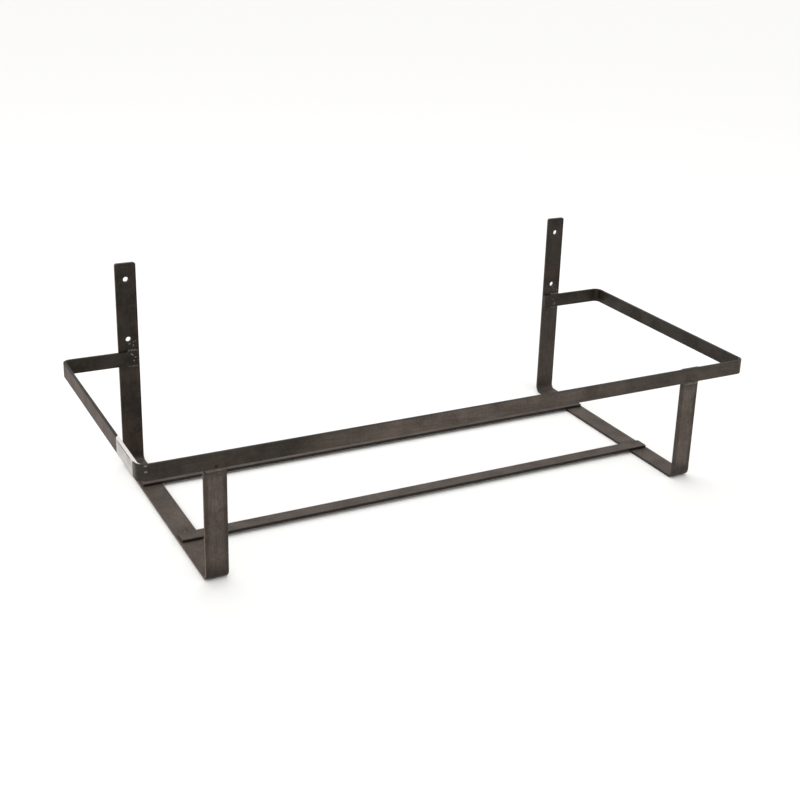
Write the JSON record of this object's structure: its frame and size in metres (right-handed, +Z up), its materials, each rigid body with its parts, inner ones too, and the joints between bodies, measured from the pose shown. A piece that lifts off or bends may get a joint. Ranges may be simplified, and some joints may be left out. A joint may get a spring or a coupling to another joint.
{
  "type": "firewood log rack",
  "caption": "Firewood log rack of flat steel bar: a bent tray rail on J-shaped floor brackets with drilled uprights, tied by flat crossbars.",
  "frame": {"origin": "on the floor, at the middle of the rack's width and depth", "axes": "+X along the rack's width, to the right seen from the front; +Y from the front rail towards the wall; +Z up"},
  "size_m": [1.0702, 0.448, 0.36],
  "materials": {
    "bracket_steel": "satin",
    "rail_steel": "satin",
    "crossbar_steel": "satin",
    "weld_metal": "satin",
    "label_paper": "matte"
  },
  "bodies": {
    "root": {"left_bracket": "bracket_steel", "right_bracket": "bracket_steel", "tray_rail": "rail_steel", "front_crossbar": "crossbar_steel", "rear_crossbar": "crossbar_steel", "rail_to_upright_welds": "weld_metal", "rail_to_riser_welds": "weld_metal", "crossbar_to_foot_welds": "weld_metal", "paper_label": "label_paper"}
  },
  "joints": []
}
